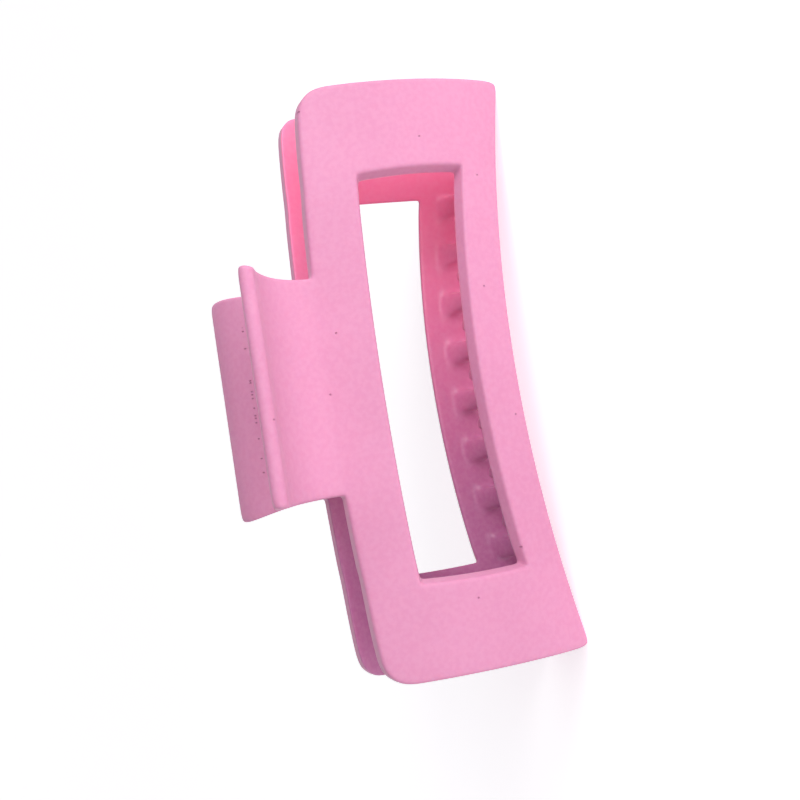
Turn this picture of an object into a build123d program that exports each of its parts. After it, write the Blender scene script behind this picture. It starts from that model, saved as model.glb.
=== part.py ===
from build123d import *
import math
import os

# Claw clip for hair. X runs along the hinge, Y is the way the jaws open, Z is up.
# The origin is the middle of the footprint: the closed clip stands on its four lower corners.

# Plate of each jaw
LENGTH = 110.0            # along X
WALL = 3.0                # moulded wall
ARC_R = 53.0              # outer radius of the plate's C-shaped section
BULGE_Y = 12.8            # furthest the section stands from the middle plane
BULGE_Z = 18.8            # height of that furthest point
LOWER_EDGE_Z = 6.36       # lower edge at mid length; its rounded corners come down to Z = 0
LOWER_BOW = 6.92          # how far the lower edge drops towards its ends
UPPER_EDGE_Z = 42.35      # upper edge at mid length
UPPER_BOW = 2.4           # how far the upper edge drops towards its ends
UPPER_CORNER_R = 4.5
LOWER_CORNER_R = 2.0

# Window through the plate, sized in the upright plane that touches the bulge; it narrows inwards from there
WINDOW_HALF = 38.3        # half length along X
WINDOW_TOP_Z = 33.7       # at mid length
WINDOW_FOOT_Z = 14.2      # at mid length
WINDOW_DRAFT_DEG = 18.0
WINDOW_DEPTH = 6.0        # from that plane to just inside the inner skin
WINDOW_CORNER_R = 2.2
WINDOW_OUTER_RIM = 1.1    # softened rim on the outer skin
WINDOW_INNER_RIM = 0.5

# Thumb tab
TAB_START_DEG = 25.0      # where the tab leaves the plate's arc
TAB_R = 9.35              # radius of the tab's hollow outer face
TAB_TURN_DEG = 99.5       # how far that face turns
TAB_ROOT_HALF = 20.0      # half width at the plate
TAB_TIP_HALF = 21.8       # half width at the lip
TAB_LEAN = 0.8            # how far along X each lip stands off the middle, the two jaws' opposite ways
TAB_TIP_R = 1.5           # corners of the lip
TAB_ROOT_R = 1.8          # fillet between tab and upper edge

# Hinge
PIN_Z = 39.3
PIN_R = 1.2
PIN_END_R = 0.4
RUNNING_GAP = 0.05        # radial clearance in the turning ears
EAR_R = 3.6
EAR_WIDTH = 2.6
EAR_GAP = 0.35            # side clearance between neighbouring ears
FRONT_EAR_X = 8.9         # middle of the front jaw's ears
REAR_EAR_X = FRONT_EAR_X + EAR_WIDTH + EAR_GAP
PIN_HALF = REAR_EAR_X + EAR_WIDTH / 2 + 0.3

# Torsion spring
WIRE_R = 0.6
BEND_R = 0.625            # the wire where a leg leaves the coil
COIL_R = 2.35             # to the middle of the wire
COIL_PITCH = 1.32
COIL_TURNS = 9            # the legs add almost half a turn
LEG_RISE = 8.0            # from the pin to where each leg presses on its thumb tab
LEG_GAP = 0.25            # clearance drawn between leg and tab

# Teeth
TOOTH_PITCH = 10.0
FRONT_TEETH = 9
REAR_TEETH = 8
TOOTH_REACH = 5.6         # how far a tip passes the middle plane
TOOTH_TIP_RISE = 1.4      # tip above the plate's lower edge
TOOTH_ROOT_RISE = 2.9     # root above the plate's lower edge
TOOTH_SAG = 1.2           # how deep the tooth dips between root and tip
TOOTH_ROOT_SIZE = (4.4, 3.8)   # width along X, height
TOOTH_TIP_SIZE = (2.8, 2.2)

ARC_Y = BULGE_Y - ARC_R   # centre of the plate's section
AT_FOOT = (Align.CENTER, Align.CENTER, Align.MIN)


def on_circle(centre, radius, degrees):
    """Point of a circle in the YZ plane, its angle counted from +Y towards +Z."""
    a = math.radians(degrees)
    return (centre[0] + radius * math.cos(a), centre[1] + radius * math.sin(a))


PLATE_CENTRE = (ARC_Y, BULGE_Z)
TAB_CENTRE = on_circle(PLATE_CENTRE, ARC_R + TAB_R, TAB_START_DEG)
TAB_END_DEG = TAB_START_DEG + 180 - TAB_TURN_DEG
LIP_CENTRE = on_circle(TAB_CENTRE, TAB_R + WALL / 2, TAB_END_DEG)
LIP_TOP_Z = LIP_CENTRE[1] + WALL / 2


def plate_y(z, depth):
    """Y of the plate's section at height z, at a depth below its outer skin."""
    return ARC_Y + math.sqrt((ARC_R - depth) ** 2 - (z - BULGE_Z) ** 2)


def tab_y(z, depth):
    """Y of the thumb tab's section at height z, at a depth below its outer skin."""
    return TAB_CENTRE[0] - math.sqrt((TAB_R + depth) ** 2 - (z - TAB_CENTRE[1]) ** 2)


def bowed(z_mid, sagitta, half):
    """Arc in the front view through height z_mid at mid length, lower by sagitta at both ends."""
    return ThreePointArc((-half, z_mid - sagitta), (0, z_mid), (half, z_mid - sagitta))


def arc_between(centre, radius, start, end):
    """Arc of a circle in the YZ plane between two angles."""
    return ThreePointArc(*[on_circle(centre, radius, a) for a in (start, (start + end) / 2, end)])


def section():
    """The jaw's wall in the YZ plane: plate arc, tab arc bending the other way, round lip."""
    inner = ARC_R - WALL
    foot = -math.degrees(math.asin((BULGE_Z + 2.0) / inner))
    start, back, end = TAB_START_DEG, TAB_START_DEG + 180, TAB_END_DEG
    with BuildSketch(Plane.YZ) as sketch:
        with BuildLine():
            arc_between(PLATE_CENTRE, ARC_R, foot, start)
            arc_between(TAB_CENTRE, TAB_R, back, end)
            arc_between(LIP_CENTRE, WALL / 2, end - 180, end)
            arc_between(TAB_CENTRE, TAB_R + WALL, end, back)
            arc_between(PLATE_CENTRE, inner, start, foot)
            Line(on_circle(PLATE_CENTRE, inner, foot), on_circle(PLATE_CENTRE, ARC_R, foot))
        make_face()
    return sketch.sketch


def front_view(lean):
    """Front view of a jaw: the plate with bowed long edges, and the flared thumb tab, its lip moved along X."""
    half = LENGTH / 2
    with BuildSketch(Plane.XZ) as sketch:
        with BuildLine():
            bowed(LOWER_EDGE_Z, LOWER_BOW, half)
            bowed(UPPER_EDGE_Z, UPPER_BOW, half)
            for x in (half, -half):
                Line((x, LOWER_EDGE_Z - LOWER_BOW), (x, UPPER_EDGE_Z - UPPER_BOW))
        make_face()
        fillet(sketch.vertices().group_by(Axis.Y)[-1], UPPER_CORNER_R)
        fillet(sketch.vertices().group_by(Axis.Y)[0], LOWER_CORNER_R)
        low, root = UPPER_EDGE_Z - 6, UPPER_EDGE_Z - 0.5
        with BuildLine():
            for side in (1, -1):
                Line((side * TAB_ROOT_HALF, low), (side * TAB_ROOT_HALF, root))
                TangentArc((side * TAB_ROOT_HALF, root), (side * TAB_TIP_HALF + lean, LIP_TOP_Z), tangent=(0, 1))
            Line((lean - TAB_TIP_HALF, LIP_TOP_Z), (lean + TAB_TIP_HALF, LIP_TOP_Z))
            Line((-TAB_ROOT_HALF, low), (TAB_ROOT_HALF, low))
        make_face()
        fillet(sketch.vertices().group_by(Axis.Y)[-1], TAB_TIP_R)
        roots = [v for v in sketch.vertices() if abs(abs(v.X) - TAB_ROOT_HALF) < 0.1
                 and UPPER_EDGE_Z - 2 < v.Y < UPPER_EDGE_Z]
        fillet(roots, TAB_ROOT_R)
    return sketch.sketch


def window_view():
    """The window: upper and lower edges bowed like the plate's, ends square to X."""
    share = (2 * WINDOW_HALF / LENGTH) ** 2
    top_end, foot_end = UPPER_BOW * share, LOWER_BOW * share
    with BuildSketch(Plane.XZ) as sketch:
        with BuildLine():
            bowed(WINDOW_TOP_Z, top_end, WINDOW_HALF)
            bowed(WINDOW_FOOT_Z, foot_end, WINDOW_HALF)
            for x in (WINDOW_HALF, -WINDOW_HALF):
                Line((x, WINDOW_TOP_Z - top_end), (x, WINDOW_FOOT_Z - foot_end))
        make_face()
        fillet(sketch.vertices(), WINDOW_CORNER_R)
    return sketch.sketch


def window():
    """Cutter for the window: its walls lean in by the draft on their way through the wall."""
    view = Pos(0, BULGE_Y, 0) * window_view()
    return extrude(view, WINDOW_DEPTH, taper=WINDOW_DRAFT_DEG) + extrude(view, -1)


def window_rim(body, radius):
    """Edges of the window that lie on the plate arc of the given radius."""
    found = []
    for edge in body.edges():
        p = edge.position_at(0.5)
        in_window = abs(p.X) < WINDOW_HALF + 0.1 and WINDOW_FOOT_Z - LOWER_BOW < p.Z < WINDOW_TOP_Z
        on_skin = abs(math.hypot(p.Y - ARC_Y, p.Z - BULGE_Z) - radius) < 0.05
        if in_window and on_skin and abs(edge.tangent_at(0.5).Y) < 0.9:
            found.append(edge)
    return found


def shell(lean):
    """A jaw's moulded wall on the +Y side, without ears or teeth."""
    wall = extrude(section(), LENGTH / 2 + 1, both=True)
    body = wall & extrude(front_view(lean), 2 * ARC_R, both=True)
    body -= window()
    body = body.fillet(WINDOW_OUTER_RIM, window_rim(body, ARC_R))
    return body.fillet(WINDOW_INNER_RIM, window_rim(body, ARC_R - WALL))


def ear(x):
    """Hinge ear of the +Y jaw: a disc round the pin, and a web back into the wall."""
    low, high = PIN_Z - EAR_R, PIN_Z + EAR_R
    half_wall = WALL / 2
    with BuildSketch(Plane.YZ) as sketch:
        with Locations((0, PIN_Z)):
            Circle(EAR_R)
        with BuildLine():
            Polyline((0, low), (plate_y(low, half_wall), low), (tab_y(high, half_wall), high), (0, high),
                     close=True)
        make_face()
    return extrude(Pos(x, 0, 0) * sketch.sketch, EAR_WIDTH / 2, both=True)


def ear_hole(radius):
    """The hole through a jaw's ears."""
    reach = 2 * (REAR_EAR_X + EAR_WIDTH)
    return Pos(0, 0, PIN_Z) * Rot(0, 90, 0) * Cylinder(radius, reach)


def lower_edge(x):
    """Height of the plate's lower edge at a place along X."""
    arc_r = (LENGTH ** 2 / 4 + LOWER_BOW ** 2) / (2 * LOWER_BOW)
    return LOWER_EDGE_Z - arc_r + math.sqrt(arc_r ** 2 - x ** 2)


def tooth(x):
    """A tooth of the +Y jaw: it tapers along a shallow hook from the lower edge past the middle plane."""
    edge = lower_edge(x)
    root_z, tip_z = edge + TOOTH_ROOT_RISE, edge + TOOTH_TIP_RISE
    root_y = plate_y(root_z, WALL / 2)
    tip_y = -TOOTH_REACH
    root_half, tip_half = TOOTH_ROOT_SIZE[1] / 2, TOOTH_TIP_SIZE[1] / 2
    mid_half = (root_half + tip_half) / 2
    mid_y, mid_z = (root_y + tip_y) / 2, (root_z + tip_z) / 2 - TOOTH_SAG
    with BuildSketch(Plane.YZ) as side:
        with BuildLine():
            ThreePointArc((root_y, root_z + root_half), (mid_y, mid_z + mid_half), (tip_y, tip_z + tip_half))
            ThreePointArc((tip_y, tip_z + tip_half), (tip_y - tip_half, tip_z), (tip_y, tip_z - tip_half))
            ThreePointArc((tip_y, tip_z - tip_half), (mid_y, mid_z - mid_half), (root_y, root_z - root_half))
            Line((root_y, root_z - root_half), (root_y, root_z + root_half))
        make_face()
    wide, slim = TOOTH_ROOT_SIZE[0] / 2, TOOTH_TIP_SIZE[0] / 2
    with BuildSketch(Plane.XY) as plan:
        with BuildLine():
            Line((wide, root_y), (slim, tip_y))
            ThreePointArc((slim, tip_y), (0, tip_y - tip_half), (-slim, tip_y))
            Line((-slim, tip_y), (-wide, root_y))
            Line((-wide, root_y), (wide, root_y))
        make_face()
    body = extrude(side.sketch, wide, both=True) & extrude(plan.sketch, PIN_Z, both=True)
    return Pos(x, 0, 0) * body


def tooth_places(count):
    """Middles of a row of teeth along X, centred on the jaw."""
    return [(i - (count - 1) / 2) * TOOTH_PITCH for i in range(count)]


def jaw(ear_x, hole_r, teeth, lean):
    """One moulding on the +Y side: wall, ears and teeth in one solid."""
    body = shell(lean)
    for x in (ear_x, -ear_x):
        body += ear(x)
    for x in tooth_places(teeth):
        body += tooth(x)
    return body - ear_hole(hole_r)


def hinge_pin():
    """Plain steel pin with rounded ends."""
    rod = Rot(0, 90, 0) * Cylinder(PIN_R, 2 * PIN_HALF)
    return Pos(0, 0, PIN_Z) * fillet(rod.edges().filter_by(GeomType.CIRCLE), PIN_END_R)


def wire_leg(start, end):
    """A straight round wire with a ball at its tip, and a slightly larger one where it leaves the coil."""
    run = end - start
    rod = Plane(origin=start, z_dir=run) * Cylinder(WIRE_R, run.length, align=AT_FOOT)
    return rod + Pos(*start) * Sphere(BEND_R) + Pos(*end) * Sphere(WIRE_R)


def torsion_spring():
    """Close-wound coil round the pin, with a leg at each end that rises inside a thumb tab."""
    leg_y = tab_y(PIN_Z + LEG_RISE, WALL) - LEG_GAP - WIRE_R
    lean = math.acos(COIL_R / math.hypot(leg_y, LEG_RISE)) - math.atan2(LEG_RISE, leg_y)
    turns = COIL_TURNS + 0.5 - lean / math.pi
    length = turns * COIL_PITCH
    start = Plane(origin=(-length / 2, 0, PIN_Z), x_dir=(0, 1, 0), z_dir=(1, 0, 0))
    path = start * Rot(0, 0, 180 + math.degrees(lean)) * Helix(COIL_PITCH, length, COIL_R)
    ring = Plane(origin=path @ 0, z_dir=path % 0) * Circle(WIRE_R)
    body = sweep(ring, path=path, is_frenet=True)
    for foot, side in ((path @ 0, -1), (path @ 1, 1)):
        body += wire_leg(foot, Vector(foot.X, side * leg_y, PIN_Z + LEG_RISE))
    return body


os.makedirs("parts", exist_ok=True)
nodes = {
    "rear_jaw": jaw(REAR_EAR_X, PIN_R, REAR_TEETH, -TAB_LEAN),
    "front_jaw": mirror(jaw(FRONT_EAR_X, PIN_R + RUNNING_GAP, FRONT_TEETH, TAB_LEAN), about=Plane.XZ),
    "hinge_pin": hinge_pin(),
    "torsion_spring": torsion_spring(),
}
for name, body in nodes.items():
    export_step(body, f"parts/{name}.step")
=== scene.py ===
"""Claw clip for hair: the looks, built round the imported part. Sizes are millimetres until a mesh is made."""
import math

import bpy
import numpy as np
from mathutils import Matrix, Vector


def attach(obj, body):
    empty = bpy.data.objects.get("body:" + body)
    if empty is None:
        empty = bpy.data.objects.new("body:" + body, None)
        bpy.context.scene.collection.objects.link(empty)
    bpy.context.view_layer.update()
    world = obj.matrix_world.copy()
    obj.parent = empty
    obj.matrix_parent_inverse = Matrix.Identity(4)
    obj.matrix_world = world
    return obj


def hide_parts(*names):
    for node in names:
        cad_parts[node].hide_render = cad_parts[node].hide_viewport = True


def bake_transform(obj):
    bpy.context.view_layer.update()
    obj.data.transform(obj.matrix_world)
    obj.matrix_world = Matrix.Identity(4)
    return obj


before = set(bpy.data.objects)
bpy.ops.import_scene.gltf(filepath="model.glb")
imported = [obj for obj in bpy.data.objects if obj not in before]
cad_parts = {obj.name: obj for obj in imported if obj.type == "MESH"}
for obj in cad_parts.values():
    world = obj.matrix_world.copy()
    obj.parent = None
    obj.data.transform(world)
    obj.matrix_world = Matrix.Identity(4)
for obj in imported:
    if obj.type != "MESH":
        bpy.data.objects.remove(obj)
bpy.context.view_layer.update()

MM = 0.001

# ---------------------------------------------------------------- sizes, as in the part's source
LENGTH = 110.0
WALL = 3.0
ARC_R = 53.0
BULGE_Y = 12.8
BULGE_Z = 18.8
ARC_Y = BULGE_Y - ARC_R
LOWER_EDGE_Z, LOWER_BOW, LOWER_CORNER_R = 6.36, 6.92, 2.0
UPPER_EDGE_Z, UPPER_BOW, UPPER_CORNER_R = 42.35, 2.4, 4.5
WINDOW_HALF, WINDOW_TOP_Z, WINDOW_FOOT_Z, WINDOW_DRAFT = 38.3, 33.7, 14.2, math.tan(math.radians(18.0))
TAB_START, TAB_R, TAB_TURN = math.radians(25.0), 9.35, math.radians(99.5)
TAB_ROOT_HALF, TAB_TIP_HALF, TAB_LEAN, TAB_TIP_R = 20.0, 21.8, 0.8, 1.5
TAB_Y = ARC_Y + (ARC_R + TAB_R) * math.cos(TAB_START)
TAB_Z = BULGE_Z + (ARC_R + TAB_R) * math.sin(TAB_START)
TAB_END = TAB_START + math.pi - TAB_TURN
LIP_Y = TAB_Y + (TAB_R + WALL / 2) * math.cos(TAB_END)
LIP_Z = TAB_Z + (TAB_R + WALL / 2) * math.sin(TAB_END)
LIP_TOP_Z = LIP_Z + WALL / 2
PIN_Z, PIN_R, PIN_HALF, PIN_END_R, RUNNING_GAP = 39.3, 1.2, 13.45, 0.4, 0.05
EAR_R = 3.6
WIRE_R, COIL_R, COIL_PITCH, COIL_TURNS = 0.6, 2.35, 1.32, 9
LEG_RISE, LEG_GAP = 8.0, 0.25
TOOTH_REACH, TOOTH_TIP_RISE, TOOTH_ROOT_RISE, TOOTH_SAG = 5.6, 1.4, 2.9, 1.2
TOOTH_ROOT_HALF = (2.2, 1.9)      # along X, and in height
TOOTH_TIP_HALF = (1.4, 1.1)
SMOOTH_ANGLE = math.radians(40)   # edges sharper than this stay hard


# ---------------------------------------------------------------- meshes
def smooth(mesh):
    """Shades a mesh smooth but for its sharp edges."""
    mesh.polygons.foreach_set("use_smooth", np.ones(len(mesh.polygons), bool))
    mesh.set_sharp_from_angle(angle=SMOOTH_ANGLE)


def place_object(name, data):
    """Puts a mesh or a light into the scene as an object at the origin."""
    made = bpy.data.objects.new(name, data)
    bpy.context.scene.collection.objects.link(made)
    return made


def make_object(name, points, faces, **attributes):
    """A mesh object from points in millimetres, with one number per point for each attribute."""
    mesh = bpy.data.meshes.new(name)
    mesh.from_pydata((points * MM).tolist(), [], faces.tolist())
    for key, values in attributes.items():
        mesh.attributes.new(key, "FLOAT", "POINT").data.foreach_set("value", values.astype(np.float32))
    smooth(mesh)
    return place_object(name, mesh)


class MixedFaces:
    """Quads and triangles together, in the form that a mesh is made from."""

    def __init__(self, quads, triangles):
        self.quads, self.triangles = quads, triangles

    def tolist(self):
        return self.quads.tolist() + self.triangles.tolist()


def capped_rings(rings, poles, around):
    """Rings of points joined by quads, each end closed on its pole by a fan of triangles. Returns points and faces."""
    number = np.arange(len(rings)).reshape(-1, around)
    following = np.roll(number, -1, axis=1)
    quads = np.stack([number[:-1], following[:-1], following[1:], number[1:]], axis=-1).reshape(-1, 4)
    start, stop = np.full(around, len(rings)), np.full(around, len(rings) + 1)
    fans = np.concatenate([np.stack([start, following[0], number[0]], axis=1),
                           np.stack([stop, number[-1], following[-1]], axis=1)])
    return np.concatenate([rings, poles]), MixedFaces(quads, fans)


def tube(centres, first, second, radii, around=24):
    """Circle carried along a line of centres: each ring is spanned by two directions and scaled by its radius.
    The first and last centres are the poles."""
    angle = np.linspace(0, 2 * math.pi, around, endpoint=False)
    spread = (np.cos(angle)[None, :, None] * first[1:-1, None]
              + np.sin(angle)[None, :, None] * second[1:-1, None])
    rings = centres[1:-1, None] + spread * radii[1:-1, None, None]
    return capped_rings(rings.reshape(-1, 3), centres[[0, -1]], around)


def lathe(profile, around=64):
    """Turns a profile of (x, radius), which starts and ends on the pin's axis, about that axis."""
    profile = np.array(profile, float)
    angle = np.linspace(0, 2 * math.pi, around, endpoint=False)
    x = np.repeat(profile[1:-1, 0], around)
    radius = np.repeat(profile[1:-1, 1], around)
    turn = np.tile(angle, len(profile) - 2)
    rings = np.stack([x, radius * np.cos(turn), PIN_Z + radius * np.sin(turn)], axis=1)
    poles = np.array([[profile[0, 0], 0, PIN_Z], [profile[-1, 0], 0, PIN_Z]])
    return capped_rings(rings, poles, around)


def lattice_skin(points, cells):
    """Closed skin of a block of cells bent into shape: each side of a solid cell that faces air is one quad.
    points has one more entry than cells along each of its three axes. Returns the numbers of the points used,
    and the quads that join them, facing outwards if the three axes are right-handed."""
    number = np.arange(points[..., 0].size).reshape(points.shape[:3])
    solid = np.pad(cells, 1)
    quads = []
    for axis in range(3):
        place = np.moveaxis(number, axis, 0)
        state = np.moveaxis(solid, axis, 0)
        before, after = state[:-1, 1:-1, 1:-1], state[1:, 1:-1, 1:-1]
        ring = (place[:, :-1, :-1], place[:, 1:, :-1], place[:, 1:, 1:], place[:, :-1, 1:])
        outward = -1 if axis == 1 else 1
        for keep, turn in ((before & ~after, outward), (after & ~before, -outward)):
            quads.append(np.stack([corner[keep] for corner in ring], axis=1)[:, ::turn])
    used, faces = np.unique(np.concatenate(quads), return_inverse=True)
    return used, faces.reshape(-1, 4)


def finished(source, name, *steps):
    """Applies the modifiers that the steps add, and returns the result as a new object of that name."""
    for kind, settings in steps:
        modifier = source.modifiers.new(kind, kind)
        for key, value in settings.items():
            setattr(modifier, key, value)
    evaluated = source.evaluated_get(bpy.context.evaluated_depsgraph_get())
    mesh = bpy.data.meshes.new_from_object(evaluated)
    bpy.data.objects.remove(source)
    mesh.name = name
    smooth(mesh)
    return place_object(name, mesh)


# ---------------------------------------------------------------- shape of a jaw
def bow(x, z_mid, sagitta, half):
    """Height at x of a circle's arc through z_mid at x = 0, lower by the sagitta at both ends."""
    radius = (half ** 2 + sagitta ** 2) / (2 * sagitta)
    return z_mid - radius + np.sqrt(radius ** 2 - x ** 2)


def section_y(z, depth):
    """Y of the wall at height z and a depth under the outer skin: the plate's circle, then the tab's,
    which bends back."""
    switch = BULGE_Z + (ARC_R - depth) * math.sin(TAB_START)
    plate = ARC_Y + np.sqrt((ARC_R - depth) ** 2 - (np.minimum(z, switch) - BULGE_Z) ** 2)
    tab = TAB_Y - np.sqrt((TAB_R + depth) ** 2 - (np.maximum(z, switch) - TAB_Z) ** 2)
    return np.where(z < switch, plate, tab)


def round_corner(x, z, corner_x, corner_z, radius, up):
    """Rounds a corner of a grid in the front view. Inside the corner's square, a point's larger distance from the
    square's inner corner becomes its distance from the arc's centre, and the smaller over the larger its angle."""
    side = np.sign(corner_x)
    p = side * (x - corner_x) + radius
    q = up * (z - corner_z) + radius
    inside = (p > 0) & (q > 0)
    reach = np.where(inside, np.maximum(p, q), 1.0)
    angle = np.where(p >= q, q / reach, 2 - p / reach) * math.pi / 4
    new_x = corner_x - side * (radius - reach * np.cos(angle))
    new_z = corner_z - up * (radius - reach * np.sin(angle))
    return np.where(inside, new_x, x), np.where(inside, new_z, z)


# The block of cells that a jaw grows from. Columns run along X, rows upwards and levels inwards.
RIM = 1.1                                       # support beside an edge, which sets how round the edge is
DEPTHS = np.array([0.0, 0.9, 1.5, 2.2, 3.0])    # levels through the wall
ENDS = [46.5, 50.5, 52.9, 53.9, 55.0]           # columns beyond the window
BESIDE_WINDOW = 42.5                            # column between the window and those
WINDOW_ENDS = [WINDOW_HALF - RIM, WINDOW_HALF, WINDOW_HALF + RIM]
TAB_COLUMN, WINDOW_COLUMN = 10, 16              # columns from the middle to the sides of the tab and the window
FOOT_ROW, TOP_ROW, EDGE_ROW = 6, 12, 18         # rows at the window's foot and top, and at the upper edge
BELOW_FOOT = 6.0                                # height above the lower edge of the row between teeth and window
EAR_TOP = 40.0                                  # height of the highest row that an ear grows from
BESIDE_STEPS = (0.0, 0.22, 0.48, 0.75, 1.0)     # rows beside the window, as shares of its height
TAB_ROWS = 9                                    # rows from just above the upper edge to the lip
TOOTH_LEVELS = (0.24, 0.38, 0.52, 0.7, 0.86, 0.97, 1.07)   # shares of a tooth's length; the last rounds its tip
EAR_LEVELS = (-0.75, -0.35, 0.0, 0.4, 0.75, 1.0)           # from the wall, to the pin at 0, to the ear's end
EAR_GROWTH = 1.04                               # makes up for what the subdivision takes off the ear's disc
DRILL_OVERRUN = 4.0                             # how far the drill runs past the pin's ends


def drafted(z, depth):
    """How far the window's wall has leaned in at height z and a depth under the outer skin."""
    return (BULGE_Y - section_y(z, depth)) * WINDOW_DRAFT


def plate_level(low, foot, high, depth):
    """One level of the plate. Its columns follow three lists of X: low at the teeth, foot at the window's foot,
    and high from the window's top."""
    half = LENGTH / 2
    root = TOOTH_ROOT_HALF[1]

    def lower(x, rise):
        return bow(x, LOWER_EDGE_Z, LOWER_BOW, half) + rise

    def upper(x, height):
        return bow(x, height, UPPER_BOW, half)

    rise = WINDOW_FOOT_Z - LOWER_EDGE_Z + drafted(WINDOW_FOOT_Z, depth)
    top = WINDOW_TOP_Z - drafted(WINDOW_TOP_Z, depth)
    between = (low + foot) / 2
    rows = [(low, lower(low, height)) for height in
            (0.0, TOOTH_ROOT_RISE - root, TOOTH_ROOT_RISE, TOOTH_ROOT_RISE + root)]
    rows += [(between, lower(between, BELOW_FOOT)), (foot, lower(foot, rise - RIM)), (foot, lower(foot, rise))]
    first, last = lower(foot, rise + RIM), upper(high, top - RIM)
    for t in BESIDE_STEPS:
        rows.append((foot + (high - foot) * t, first + (last - first) * t))
    for height in (top, top + RIM, PIN_Z - EAR_R, UPPER_EDGE_Z - UPPER_CORNER_R, EAR_TOP,
                   UPPER_EDGE_Z - RIM, UPPER_EDGE_Z):
        rows.append((high, upper(high, height)))
    x = np.stack([row[0] for row in rows], axis=1)
    z = np.stack([row[1] for row in rows], axis=1)
    at_end = np.isin(np.abs(high), WINDOW_ENDS)[:, None] & (np.arange(x.shape[1]) >= FOOT_ROW - 1)
    x = np.where(at_end, x - np.sign(x) * drafted(z, depth), x)
    for side in (-1, 1):
        x, z = round_corner(x, z, side * half, lower(half, 0.0), LOWER_CORNER_R, -1)
        x, z = round_corner(x, z, side * half, upper(half, UPPER_EDGE_Z), UPPER_CORNER_R, 1)
    return np.stack([x, section_y(z, depth), z], axis=-1)


def tab_level(high, level, lean):
    """One level of the tab. It turns about the tab's centre, and its last row lies on the lip's half circle."""
    depth = DEPTHS[level]
    edge = bow(high, UPPER_EDGE_Z + RIM, UPPER_BOW, LENGTH / 2)[:, None]
    start = math.pi - np.arcsin((edge - TAB_Z) / (TAB_R + depth))
    angle = start + (TAB_END - start) * np.linspace(0, 1, TAB_ROWS)[None, :]
    y = TAB_Y + (TAB_R + depth) * np.cos(angle)
    z = TAB_Z + (TAB_R + depth) * np.sin(angle)
    last = len(DEPTHS) - 1
    shrink = 0.9 if 0 < level < last else 1      # what the subdivision leaves of a half circle of four sides
    reach = WALL / 2 / shrink
    turn = TAB_END - math.pi * (1 - level / last)
    y[:, -1] = LIP_Y + reach * math.cos(turn)
    z[:, -1] = LIP_Z + reach * math.sin(turn)
    flare = (np.maximum(z - UPPER_EDGE_Z, 0) / (LIP_TOP_Z - UPPER_EDGE_Z)) ** 2
    x = high[:, None] * (1 + (TAB_TIP_HALF / TAB_ROOT_HALF - 1) * flare) + lean * flare
    for side in (-1, 1):
        x, z = round_corner(x, z, side * TAB_TIP_HALF + lean, LIP_TOP_Z, TAB_TIP_R, 1)
    return np.stack([x, y, z], axis=-1)


def wall_points(low, high, lean):
    """The jaw's wall as a block of points, from the columns of one half at the teeth and above the window."""
    beyond = WINDOW_ENDS + [BESIDE_WINDOW] + ENDS
    foot = low[:WINDOW_COLUMN - 1] + beyond
    low = low + ENDS
    high = high + beyond
    low, foot, high = [np.array([-v for v in half[:0:-1]] + half) for half in (low, foot, high)]
    plate = np.stack([plate_level(low, foot, high, depth) for depth in DEPTHS], axis=2)
    tab = np.stack([tab_level(high, level, lean) for level in range(len(DEPTHS))], axis=2)
    return np.concatenate([plate, tab], axis=1)


def tooth_block(x):
    """A tooth as three by three points by level: a line that dips by a parabola between root and tip,
    and a square that narrows along it."""
    a, b = np.meshgrid([-1.0, 0.0, 1.0], [-1.0, 0.0, 1.0], indexing="ij")
    squared = np.where(np.abs(a * b) > 0, 0.93, 1.1)         # rounds the square's corners
    t = np.array(TOOTH_LEVELS)
    s = np.minimum(t, 1)
    narrow = np.where(t > 1, 0.62, 1.0)
    wide = (TOOTH_ROOT_HALF[0] + (TOOTH_TIP_HALF[0] - TOOTH_ROOT_HALF[0]) * s) * narrow
    tall = (TOOTH_ROOT_HALF[1] + (TOOTH_TIP_HALF[1] - TOOTH_ROOT_HALF[1]) * s) * narrow
    edge = float(bow(x, LOWER_EDGE_Z, LOWER_BOW, LENGTH / 2))
    root_z, tip_z = edge + TOOTH_ROOT_RISE, edge + TOOTH_TIP_RISE
    root_y, tip_y = float(section_y(root_z, WALL / 2)), -TOOTH_REACH
    y = root_y + (tip_y - root_y) * t
    z = root_z + (tip_z - root_z) * t - TOOTH_SAG * 4 * t * (1 - t)
    along_y, along_z = np.full(len(t), tip_y - root_y), tip_z - root_z - TOOTH_SAG * 4 * (1 - 2 * s)
    length = np.hypot(along_y, along_z)
    spread = (b * squared)[..., None] * tall / length
    across = x + (a * squared)[..., None] * wide
    return np.stack([across, y + spread * along_z, z - spread * along_y], axis=-1)


def ear_block(root):
    """An ear as the wall's points by level: they run in from the wall, and past the pin they fill half a disc."""
    b = np.linspace(-1, 1, root.shape[1])[None, :, None]
    s = np.array(EAR_LEVELS)[None, None, :]
    past = np.maximum(s, 0)
    grown = EAR_R * EAR_GROWTH
    y = np.where(s < 0, root[..., 1][..., None] * -s, -grown * past * np.sqrt(1 - b ** 2 / 2))
    z = PIN_Z + np.where(s < 0, EAR_R, grown) * b * np.sqrt(1 - past ** 2 / 2)
    return np.stack(np.broadcast_arrays(root[..., 0][..., None], y, z), axis=-1)


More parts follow.
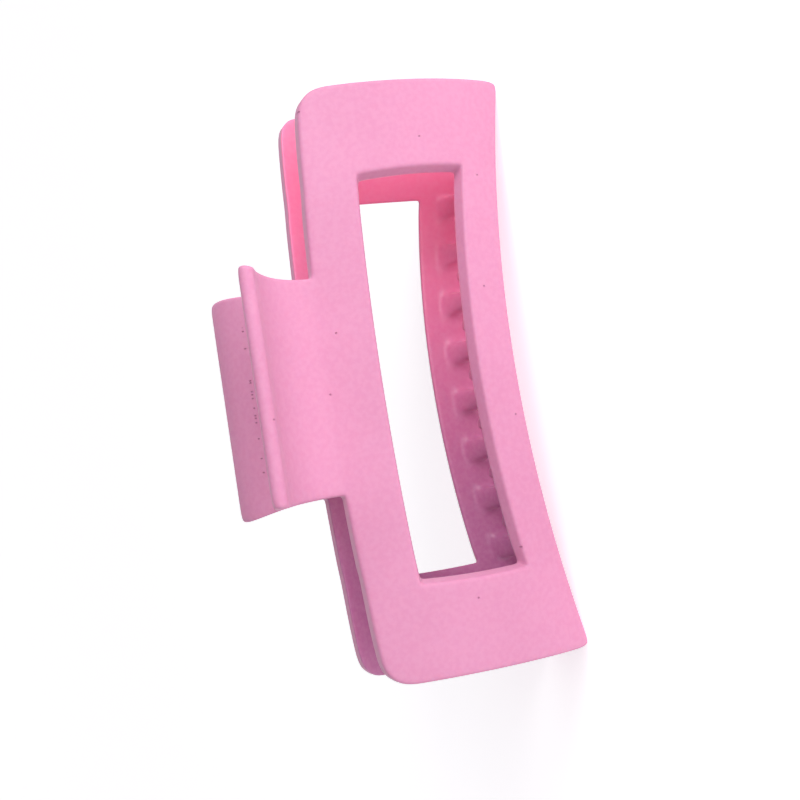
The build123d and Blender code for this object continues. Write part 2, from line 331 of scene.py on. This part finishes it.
def jaw(name, side, low, high, tooth_columns, ear_columns, hole_r, lean):
    """One moulded jaw: wall, teeth and ears grow from one block of cells, a subdivision surface softens it,
    and a drill bores its ears. The attribute inner runs from 0 on the outer skin to 1 on the inner."""
    wall = wall_points(low, high, lean)
    columns, rows, levels = wall.shape[:3]
    beyond = max(len(TOOTH_LEVELS), len(EAR_LEVELS))
    points = np.concatenate([wall, np.zeros((columns, rows, beyond, 3))], axis=2)
    cells = np.zeros((columns - 1, rows - 1, levels - 1 + beyond), bool)
    middle, thick = (columns - 1) // 2, levels - 1
    cells[:, :EDGE_ROW, :thick] = True
    cells[middle - TAB_COLUMN:middle + TAB_COLUMN, EDGE_ROW:, :thick] = True
    cells[middle - WINDOW_COLUMN:middle + WINDOW_COLUMN, FOOT_ROW:TOP_ROW, :thick] = False
    for column in sorted({middle + c for c in tooth_columns} | {middle - c for c in tooth_columns}):
        block = tooth_block(wall[column, 2, 0, 0])
        points[column - 1:column + 2, 1:4, levels:levels + len(TOOTH_LEVELS)] = block
        cells[column - 1:column + 1, 1:3, thick:thick + len(TOOTH_LEVELS)] = True
    ear_low, ear_high = TOP_ROW + 2, TOP_ROW + 7
    first, last = ear_columns
    for start, stop in ((middle + first, middle + last), (middle - last, middle - first)):
        block = ear_block(wall[start:stop + 1, ear_low:ear_high + 1, thick])
        points[start:stop + 1, ear_low:ear_high + 1, levels:levels + len(EAR_LEVELS)] = block
        cells[start:stop, ear_low:ear_high, thick:thick + len(EAR_LEVELS)] = True
    used, faces = lattice_skin(points, cells)
    level = np.broadcast_to(np.arange(points.shape[2]), points.shape[:3]).reshape(-1)[used]
    skin = points.reshape(-1, 3)[used] * (1, side, 1)
    cage = make_object(name + "_cage", skin, faces[:, ::side], inner=np.clip(level / thick, 0, 1))
    reach = PIN_HALF + DRILL_OVERRUN
    drill = make_object("drill", *lathe([(-reach, 0), (-reach, hole_r), (reach, hole_r), (reach, 0)]))
    made = finished(cage, name,
                    ("SUBSURF", {"levels": 2, "render_levels": 2}),
                    ("BOOLEAN", {"operation": "DIFFERENCE", "object": drill, "solver": "EXACT"}))
    bpy.data.objects.remove(drill)
    return made


# ---------------------------------------------------------------- the jaws, alike but for ears, teeth and lean
# Columns of one half, from the middle out. Between the teeth's own columns lie supports for their sides.
EVEN = [0, 2.2, 5, 7.8, 10, 12.2, 15, 17.8, 20, 22.2, 25, 27.8, 30, 32.2, 34.3, 36.2, 37.8, 40, 42.2]
ODD = [0, 2.8, 5, 7.2, 10, 12.8, 15, 17.2, 20, 22.8, 25, 27.2, 30, 32.8, 35, 37.2, 38.4, 39.8, 42.5]
INNER_EARS = [0, 2.6, 5.2, 7.6, 8.1, 9.7, 10.2, 13, 16.2, 18.9, 20, 21.1, 24, 28.5, 33]
OUTER_EARS = [0, 2.6, 5.5, 8.5, 10.55, 11.05, 12.65, 13.15, 16.2, 18.9, 20, 21.1, 24, 28.5, 33]
front = jaw("front_shell", -1, EVEN, INNER_EARS, (0, 4, 8, 12, 17), (3, 6), PIN_R + RUNNING_GAP, TAB_LEAN)
rear = jaw("rear_shell", 1, ODD, OUTER_EARS, (2, 6, 10, 14), (4, 7), PIN_R, -TAB_LEAN)


# ---------------------------------------------------------------- pin and spring
def hinge_pin():
    """The pin turned from its profile: a rod whose rounded ends are quarter circles."""
    turn = np.linspace(0, math.pi / 2, 7)
    x = PIN_HALF - PIN_END_R + PIN_END_R * np.sin(turn)
    r = PIN_R - PIN_END_R + PIN_END_R * np.cos(turn)
    half = np.stack([np.append(x, PIN_HALF), np.append(r, 0.0)], axis=1)
    left = half[::-1] * (-1, 1)
    return make_object("pin", *lathe(np.concatenate([left, half])))


RINGS_PER_TURN = 36
LEG_RINGS = (0, 0, 0.012, 0.03, 0.3, 0.6, 0.85)         # rings along a leg from its cut end, as shares of it
LEG_WIDTHS = (0.0, 0.82, 0.95, 1.0, 1.0, 1.0, 1.0)      # their radii over the wire's: the cut end is rounded


def torsion_spring():
    """Round wire carried along a helix about the pin, with a straight leg off each end that touches its circle.
    Each ring is spanned by the pin's direction, made square to the line, and the direction square to both."""
    leg_y = TAB_Y - math.sqrt((TAB_R + WALL) ** 2 - (PIN_Z + LEG_RISE - TAB_Z) ** 2) - LEG_GAP - WIRE_R
    lean = math.acos(COIL_R / math.hypot(leg_y, LEG_RISE)) - math.atan2(LEG_RISE, leg_y)
    turns = COIL_TURNS + 0.5 - lean / math.pi
    angle = np.linspace(0, 2 * math.pi * turns, int(RINGS_PER_TURN * turns)) + math.pi + lean
    coil = np.stack([np.linspace(-0.5, 0.5, len(angle)) * turns * COIL_PITCH,
                     COIL_R * np.cos(angle), PIN_Z + COIL_R * np.sin(angle)], axis=1)
    reach = 1 - np.array(LEG_RINGS)[:, None]
    width = np.array(LEG_WIDTHS)
    tips = [np.array([coil[end, 0], y, PIN_Z + LEG_RISE]) for end, y in ((0, -leg_y), (-1, leg_y))]
    first = coil[0] + (tips[0] - coil[0]) * reach
    last = (coil[-1] + (tips[1] - coil[-1]) * reach)[::-1]
    line = np.concatenate([first, coil, last])
    radii = WIRE_R * np.concatenate([width, np.ones(len(coil)), width[::-1]])
    along = np.gradient(line, axis=0)
    along[:4], along[-4:] = coil[0] - tips[0], tips[1] - coil[-1]      # the rings that round a cut end lie close
    along /= np.linalg.norm(along, axis=1)[:, None]
    across = np.array([1.0, 0, 0]) - along[:, :1] * along
    across /= np.linalg.norm(across, axis=1)[:, None]
    points, faces = tube(line, across, np.cross(along, across), radii)
    return make_object("spring_wire", points, faces)


pin = hinge_pin()
spring = torsion_spring()


# ---------------------------------------------------------------- materials
COAT_DEEP, COAT_PALE = "#CE84A8", "#D288AC"      # soft-touch coat
BARE_SHADED, BARE_LIT = "#B26694", "#F482AC"      # inner skin's bare tone, with painted shade that darkens it towards the -X end
SPECKLE, PIT = "#FFE2F0", "#8E4A6C"              # pale grain of the coat, and the shade in a pit
BARE_LEVEL = (0.72, 1.0)                         # where the coat gives way to the bare inner skin
BARE_TOP = (0.046, 0.041)                        # heights above which the inner skin is coated too, in metres
BARE_SHADE_RUN = (-0.040, 0.052)                       # X over which the inner skin's painted shade gives way to its lit tone, in metres
DRIFT, PATCH, GRAIN, PEEL = 22.0, 0.9, 0.28, 2.6             # sizes of the coat's patterns in millimetres
GRAIN_HEIGHT, PEEL_HEIGHT, PIT_DEPTH = 0.010, 0.015, 0.12    # in millimetres
PIT_SPACING, PIT_R, PIT_SHADE = 17.0, 0.26, 0.55
ROW_Z, ROW_PIT_R = 53.0, 0.24                    # height of the row of pits on the rear tab, and their radius
ROWS = ((1.3, 4.5), (3.6, 15.0))                 # spacing and half length of the row's dense and sparse pits
EASE = (0.35, 0.65)                              # middle of a noise's values


def srgb(code):
    """Linear colour from an sRGB hex value."""
    parts = [int(code[i:i + 2], 16) / 255 for i in (1, 3, 5)]
    return [c / 12.92 if c <= 0.04045 else ((c + 0.055) / 1.055) ** 2.4 for c in parts] + [1.0]


def node(tree, kind, inputs=None, output=0, **settings):
    """Adds a node with its settings. Each input is a value, or the socket that feeds it.
    Returns the output asked for, or nothing where there is none."""
    made = tree.nodes.new("ShaderNode" + kind)
    for key, value in settings.items():
        setattr(made, key, value)
    for key, value in (inputs or {}).items():
        if isinstance(value, bpy.types.NodeSocket):
            tree.links.new(value, made.inputs[key])
        else:
            made.inputs[key].default_value = value
    return made.outputs[output] if made.outputs else None


EASED = {"interpolation_type": "SMOOTHSTEP"}     # Map Range: value 0, from 1 and 2, to 3 and 4
COLOUR = {"output": 2, "data_type": "RGBA"}      # Mix: share 0, colours 6 and 7


def new_tree(name):
    """A new material and its empty node tree."""
    made = bpy.data.materials.new(name)
    made.use_nodes = True
    made.node_tree.nodes.clear()
    return made, made.node_tree


def pit_scatter(tree, place):
    """Darkness of tiny round pits over the front view, about one to each cell of the pits' spacing:
    eased from one near a cell's point to zero at a pit's radius."""
    x = node(tree, "SeparateXYZ", {0: place}, "X")
    z = node(tree, "SeparateXYZ", {0: place}, "Z")
    flat = node(tree, "CombineXYZ", {"X": x, "Y": z})
    distance = node(tree, "TexVoronoi", {"Vector": flat, "Scale": 1 / (PIT_SPACING * MM)}, "Distance",
                    voronoi_dimensions="2D")
    edge = PIT_R / PIT_SPACING
    return node(tree, "MapRange", {0: distance, 1: EASE[0] * edge, 2: edge, 3: 1.0, 4: 0.0}, **EASED)


def pit_row(tree, place, spacing, half_length):
    """Darkness of a row of pits along X: the distances to the next pit and to the row's height are the two sides
    of a right angle, and the row fades out at its half length."""
    x = node(tree, "SeparateXYZ", {0: place}, "X")
    z = node(tree, "SeparateXYZ", {0: place}, "Z")
    step = node(tree, "TexVoronoi", {"W": x, "Scale": 1 / (spacing * MM)}, "Distance", voronoi_dimensions="1D")
    dx = node(tree, "Math", {0: step, 1: spacing * MM}, operation="MULTIPLY")
    dz = node(tree, "Math", {0: z, 1: ROW_Z * MM}, operation="SUBTRACT")
    dx2 = node(tree, "Math", {0: dx, 1: dx}, operation="MULTIPLY")
    dz2 = node(tree, "Math", {0: dz, 1: dz}, operation="MULTIPLY")
    square = node(tree, "Math", {0: dx2, 1: dz2}, operation="ADD")
    distance = node(tree, "Math", {0: square}, operation="SQRT")
    radius, length = ROW_PIT_R * MM, half_length * MM
    mark = node(tree, "MapRange", {0: distance, 1: EASE[0] * radius, 2: radius, 3: 1.0, 4: 0.0}, **EASED)
    away = node(tree, "Math", {0: x}, operation="ABSOLUTE")
    within = node(tree, "MapRange", {0: away, 1: length * 0.9, 2: length, 3: 1.0, 4: 0.0}, **EASED)
    return node(tree, "Math", {0: mark, 1: within}, operation="MULTIPLY")


def coated_plastic(name, has_row):
    """Moulded ABS under a rubbery soft-touch coat: matte with a faint bloom at grazing angles, a very fine grain,
    a slow drift in colour and a few tiny pits with painted shade in them. The inner skin is drawn as bare plastic,
    which is more saturated and a little glossier, with painted shade that darkens it towards the -X end."""
    made, tree = new_tree(name)
    place = node(tree, "TexCoord", output="Object")
    level = node(tree, "Attribute", output="Fac", attribute_name="inner")
    x = node(tree, "SeparateXYZ", {0: place}, "X")
    z = node(tree, "SeparateXYZ", {0: place}, "Z")

    inside = node(tree, "MapRange", {0: level, 1: BARE_LEVEL[0], 2: BARE_LEVEL[1]}, **EASED)
    below = node(tree, "MapRange", {0: z, 1: BARE_TOP[1], 2: BARE_TOP[0], 3: 1.0, 4: 0.0}, **EASED)
    inner = node(tree, "Math", {0: inside, 1: below}, operation="MULTIPLY")

    drift = node(tree, "TexNoise", {"Vector": place, "Scale": 1 / (DRIFT * MM), "Detail": 1.0})
    drift = node(tree, "MapRange", {0: drift, 1: EASE[0], 2: EASE[1]}, **EASED)
    coat = node(tree, "Mix", {0: drift, 6: srgb(COAT_DEEP), 7: srgb(COAT_PALE)}, **COLOUR)
    # Painted shade: the bare inner skin darkens towards -X, away from the light.
    along = node(tree, "MapRange", {0: x, 1: BARE_SHADE_RUN[0], 2: BARE_SHADE_RUN[1]}, **EASED)
    bare_shaded = node(tree, "Mix", {0: along, 6: srgb(BARE_SHADED), 7: srgb(BARE_LIT)}, **COLOUR)
    colour = node(tree, "Mix", {0: inner, 6: coat, 7: bare_shaded}, **COLOUR)
    patch = node(tree, "TexNoise", {"Vector": place, "Scale": 1 / (PATCH * MM), "Detail": 2.0})
    patch = node(tree, "MapRange", {0: patch, 1: 0.3, 2: 0.7, 3: 0.0, 4: 0.05}, **EASED)
    colour = node(tree, "Mix", {0: patch, 6: colour, 7: srgb(SPECKLE)}, **COLOUR)

    skin = node(tree, "MapRange", {0: level, 1: 0.2, 2: 0.5, 3: 1.0, 4: 0.0}, **EASED)
    pits = node(tree, "Math", {0: pit_scatter(tree, place), 1: skin}, operation="MULTIPLY")
    if has_row:
        dense, sparse = [pit_row(tree, place, *row) for row in ROWS]
        row = node(tree, "Math", {0: dense, 1: sparse}, operation="MAXIMUM")
        row = node(tree, "Math", {0: row, 1: inside}, operation="MULTIPLY")
        pits = node(tree, "Math", {0: pits, 1: row}, operation="MAXIMUM")
    shade = node(tree, "Math", {0: pits, 1: PIT_SHADE}, operation="MULTIPLY")
    colour = node(tree, "Mix", {0: shade, 6: colour, 7: srgb(PIT)}, **COLOUR)

    # The grain is taken as 0.05 mm on such a coat, and drawn coarser so that it shows.
    grain = node(tree, "TexNoise", {"Vector": place, "Scale": 1 / (GRAIN * MM), "Detail": 3.0, "Roughness": 0.6})
    peel = node(tree, "TexNoise", {"Vector": place, "Scale": 1 / (PEEL * MM), "Detail": 1.0})
    fine = node(tree, "Math", {0: grain, 1: GRAIN_HEIGHT}, operation="MULTIPLY")
    wide = node(tree, "Math", {0: peel, 1: PEEL_HEIGHT}, operation="MULTIPLY")
    deep = node(tree, "Math", {0: pits, 1: PIT_DEPTH}, operation="MULTIPLY")
    height = node(tree, "Math", {0: fine, 1: wide}, operation="ADD")
    height = node(tree, "Math", {0: height, 1: deep}, operation="SUBTRACT")
    bump = node(tree, "Bump", {"Strength": 1.0, "Distance": MM, "Height": height})

    gloss = node(tree, "MapRange", {0: inner, 1: 0.0, 2: 1.0, 3: 0.56, 4: 0.36}, **EASED)
    uneven = node(tree, "Math", {0: grain, 1: 0.5}, operation="SUBTRACT")
    uneven = node(tree, "Math", {0: uneven, 1: 0.10}, operation="MULTIPLY")
    rough = node(tree, "Math", {0: gloss, 1: uneven}, operation="ADD")
    shader = node(tree, "BsdfPrincipled", {
        "Base Color": colour, "Roughness": rough, "Normal": bump, "IOR": 1.46, "Sheen Weight": 0.12,
        "Sheen Roughness": 0.5, "Subsurface Weight": 0.10, "Subsurface Scale": 0.0012})
    node(tree, "OutputMaterial", {"Surface": shader})
    return made


def drawn_steel(name, along_mm, across_mm, tone, roughness):
    """Steel drawn through a die: bright and grey, with fine streaks that stretch its reflections.
    Streaks are noise squeezed across and stretched along the pin's direction."""
    made, tree = new_tree(name)
    place = node(tree, "TexCoord", output="Object")
    across = 1 / (across_mm * MM)
    stretched = node(tree, "Mapping", {"Vector": place, "Scale": (1 / (along_mm * MM), across, across)},
                     vector_type="POINT")
    streak = node(tree, "TexNoise", {"Vector": stretched, "Scale": 1.0, "Detail": 2.0})
    haze = node(tree, "TexNoise", {"Vector": place, "Scale": 1 / (3.0 * MM), "Detail": 1.0})
    haze = node(tree, "MapRange", {0: haze, 1: EASE[0], 2: EASE[1]}, **EASED)
    colour = node(tree, "Mix", {0: haze, 6: srgb(tone[0]), 7: srgb(tone[1])}, **COLOUR)
    uneven = node(tree, "Math", {0: streak, 1: 0.14}, operation="MULTIPLY")
    rough = node(tree, "Math", {0: uneven, 1: roughness - 0.07}, operation="ADD")
    bump = node(tree, "Bump", {"Strength": 1.0, "Distance": 0.006 * MM, "Height": streak})
    shader = node(tree, "BsdfPrincipled", {
        "Base Color": colour, "Metallic": 1.0, "Roughness": rough, "Normal": bump})
    node(tree, "OutputMaterial", {"Surface": shader})
    return made


front_plastic = coated_plastic("soft_touch_abs_front", False)
rear_plastic = coated_plastic("soft_touch_abs_rear", True)
pin_metal = drawn_steel("drawn_steel", 6.0, 0.12, ("#B4B6B9", "#C6C8CB"), 0.30)
spring_metal = drawn_steel("bright_spring_wire", 0.9, 0.25, ("#A9AAAD", "#BDBEC2"), 0.24)


# ---------------------------------------------------------------- pieces on their bodies
for piece, cad, skin, finish in ((front, "front_jaw", front_plastic, "jaw_plastic"),
                                 (rear, "rear_jaw", rear_plastic, "jaw_plastic"),
                                 (pin, "hinge_pin", pin_metal, "pin_steel"),
                                 (spring, "torsion_spring", spring_metal, "spring_steel")):
    piece.data.materials.clear()
    piece.data.materials.append(skin)
    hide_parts(cad)
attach(front, "front_jaw")
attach(rear, "rear_jaw")
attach(pin, "rear_jaw")
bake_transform(spring)


# ---------------------------------------------------------------- stage
SWEEP_LIGHT, ROOM_LIGHT, TABLE_GLOW, SUN_LIGHT = 1.04, 0.28, 0.52, 1.0
SWEEP_TOP = (0.32, 0.55)                         # sines of the heights over which the sweep gives way to the room
FLOOR_HALF = 30

floor_mesh = bpy.data.meshes.new("floor")
floor_corners = [(x * FLOOR_HALF, y * FLOOR_HALF, 0) for x, y in ((-1, -1), (1, -1), (1, 1), (-1, 1))]
floor_mesh.from_pydata(floor_corners, [], [(0, 1, 2, 3)])
floor = place_object("floor", floor_mesh)
acrylic, tree = new_tree("white_backlit_acrylic")
shader = node(tree, "BsdfPrincipled", {"Base Color": srgb("#F2F2F2"), "Roughness": 0.8,
                                       "Emission Color": srgb("#FFFFFF"), "Emission Strength": TABLE_GLOW})
node(tree, "OutputMaterial", {"Surface": shader})
floor_mesh.materials.append(acrylic)

# A white sweep that reaches above the horizon, and a darker, faintly violet room over it.
world = bpy.data.worlds.new("studio")
bpy.context.scene.world = world
world.use_nodes = True
sky = world.node_tree
sky.nodes.clear()
direction = node(sky, "TexCoord", output="Generated")
height = node(sky, "SeparateXYZ", {0: direction}, "Z")
glow = node(sky, "MapRange", {0: height, 1: SWEEP_TOP[0], 2: SWEEP_TOP[1], 3: SWEEP_LIGHT, 4: ROOM_LIGHT}, **EASED)
share = node(sky, "MapRange", {0: height, 1: SWEEP_TOP[0], 2: SWEEP_TOP[1]}, **EASED)
tint = node(sky, "Mix", {0: share, 6: srgb("#FFFFFF"), 7: srgb("#FBF1FF")}, **COLOUR)
background = node(sky, "Background", {"Color": tint, "Strength": glow})
node(sky, "OutputWorld", {"Surface": background})

key = place_object("key", bpy.data.lights.new("key", "AREA"))
key.data.energy = 0.40
key.data.size = 0.14
key.location = (0.22, -0.20, 0.17)
key.rotation_euler = (Vector((0.03, 0, 0.03)) - key.location).to_track_quat("-Z", "Y").to_euler()
sun = place_object("soft_sun", bpy.data.lights.new("soft_sun", "SUN"))
sun.data.energy = SUN_LIGHT
sun.data.angle = math.radians(50)
sun.rotation_euler = Vector((0.30, -0.88, 0.38)).to_track_quat("Z", "Y").to_euler()

# Camera: seen from in front and a little above, with the clip's length running up the picture.
elevation, turn, roll = math.radians(19.95), math.radians(-4.18), math.radians(-8.96)
back = Vector((math.sin(turn), -math.cos(elevation) * math.cos(turn), math.sin(elevation) * math.cos(turn)))
down_slope = Vector((0, -math.sin(elevation), -math.cos(elevation)))
along = back.cross(down_slope)
along *= -1 if along.x > 0 else 1
right = math.cos(roll) * down_slope - math.sin(roll) * along
up = -(math.sin(roll) * down_slope + math.cos(roll) * along)
camera = bpy.data.objects.new("camera", bpy.data.cameras.new("camera"))
bpy.context.scene.collection.objects.link(camera)
camera.matrix_world = Matrix((
    (right.x, up.x, back.x, -0.0202),
    (right.y, up.y, back.y, -0.2133),
    (right.z, up.z, back.z, 0.1037),
    (0, 0, 0, 1)))
camera.data.sensor_width = 36.0
camera.data.lens = 53.6
bpy.context.scene.camera = camera
bpy.context.scene.view_settings.view_transform = "Standard"
